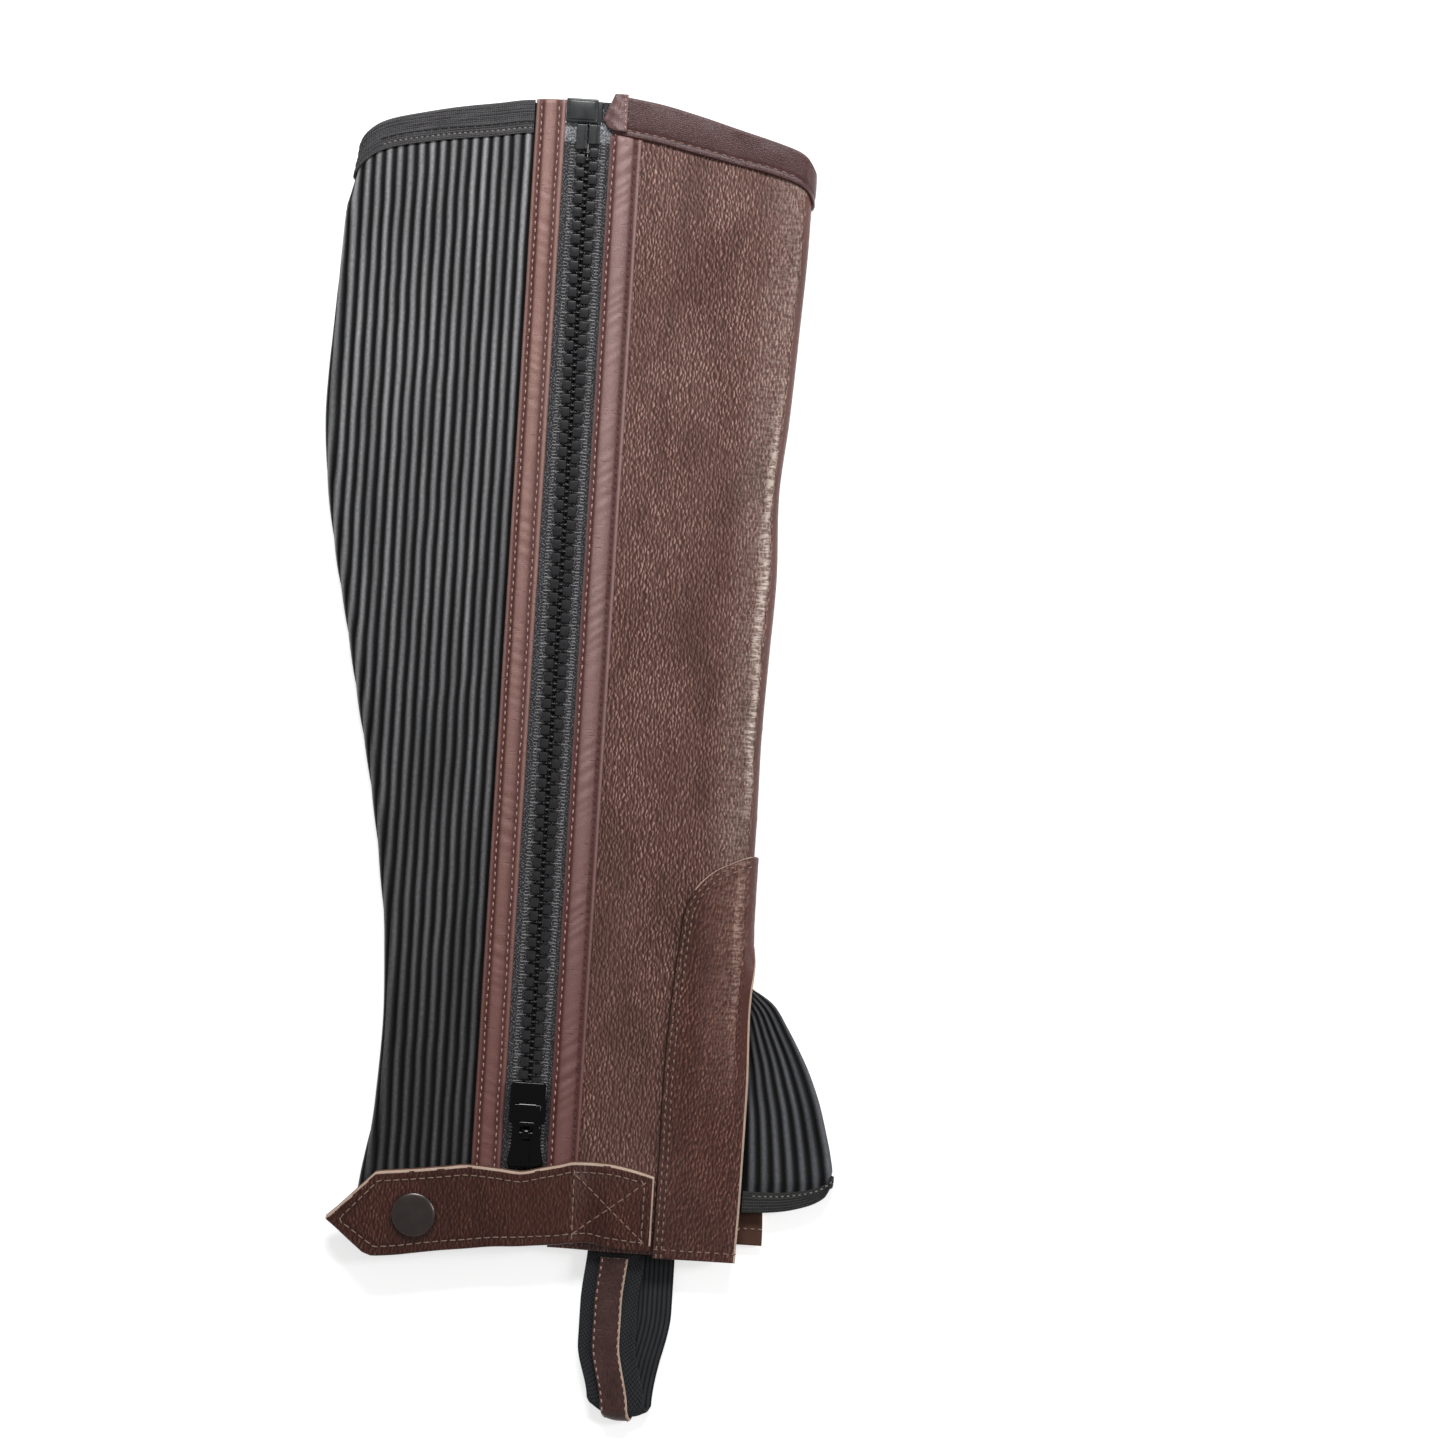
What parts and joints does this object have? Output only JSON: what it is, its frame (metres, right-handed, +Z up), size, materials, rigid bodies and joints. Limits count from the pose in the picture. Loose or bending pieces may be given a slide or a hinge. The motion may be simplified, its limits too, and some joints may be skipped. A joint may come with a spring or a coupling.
{
  "type": "half chap",
  "caption": "Zipped leather half chap with a ribbed elastic calf panel, instep gusset, pointed ankle strap with a snap and an elastic foot loop, lying flat, outer side up.",
  "frame": {"origin": "middle of the outline on the surface that the half chap lies on", "axes": "+Y up the leg from the foot loop to the knee edge, +X across the leg towards the shin, +Z up from the surface through the inner side to the outer side"},
  "size_m": [0.2004, 0.477, 0.0161],
  "materials": {
    "pebbled_leather": "pebble grain, satin",
    "smooth_leather": "smooth, satin",
    "ribbed_elastic": "ribbed knit, matte",
    "woven_binding": "woven tape, matte",
    "webbing": "woven webbing, matte",
    "zip_tape": "woven tape, matte",
    "zip_teeth": "moulded, satin",
    "gunmetal": "gunmetal, gloss",
    "black_enamel": "black enamel, gloss"
  },
  "bodies": {
    "chap": {"leather_panel": "pebbled_leather", "elastic_panel": "ribbed_elastic", "zip_tape_calf": "zip_tape", "zip_tape_shin": "zip_tape", "zip_strip_calf": "smooth_leather", "zip_strip_shin": "smooth_leather", "zip_chain": "zip_teeth", "zip_box": "zip_teeth", "zip_pin_calf": "zip_teeth", "zip_pin_shin": "zip_teeth", "knee_binding_leather": "smooth_leather", "knee_binding_elastic": "woven_binding", "ankle_binding_elastic": "woven_binding", "shin_patch": "pebbled_leather", "instep_gusset": "ribbed_elastic", "gusset_binding": "woven_binding", "ankle_strap_backing": "smooth_leather", "ankle_strap": "pebbled_leather", "snap_cap": "gunmetal", "snap_stud": "gunmetal", "foot_loop": "webbing", "foot_loop_strip": "pebbled_leather", "slider": "black_enamel"},
    "pull": {"pull_tab": "black_enamel"}
  },
  "joints": [
    {"name": "pull_tab_hinge", "type": "hinge", "parent": "chap", "child": "pull", "pos_m": [-0.01148, -0.13623, 0.01172], "axis": [1, 0, 0], "range_deg": [0, 140]}
  ]
}
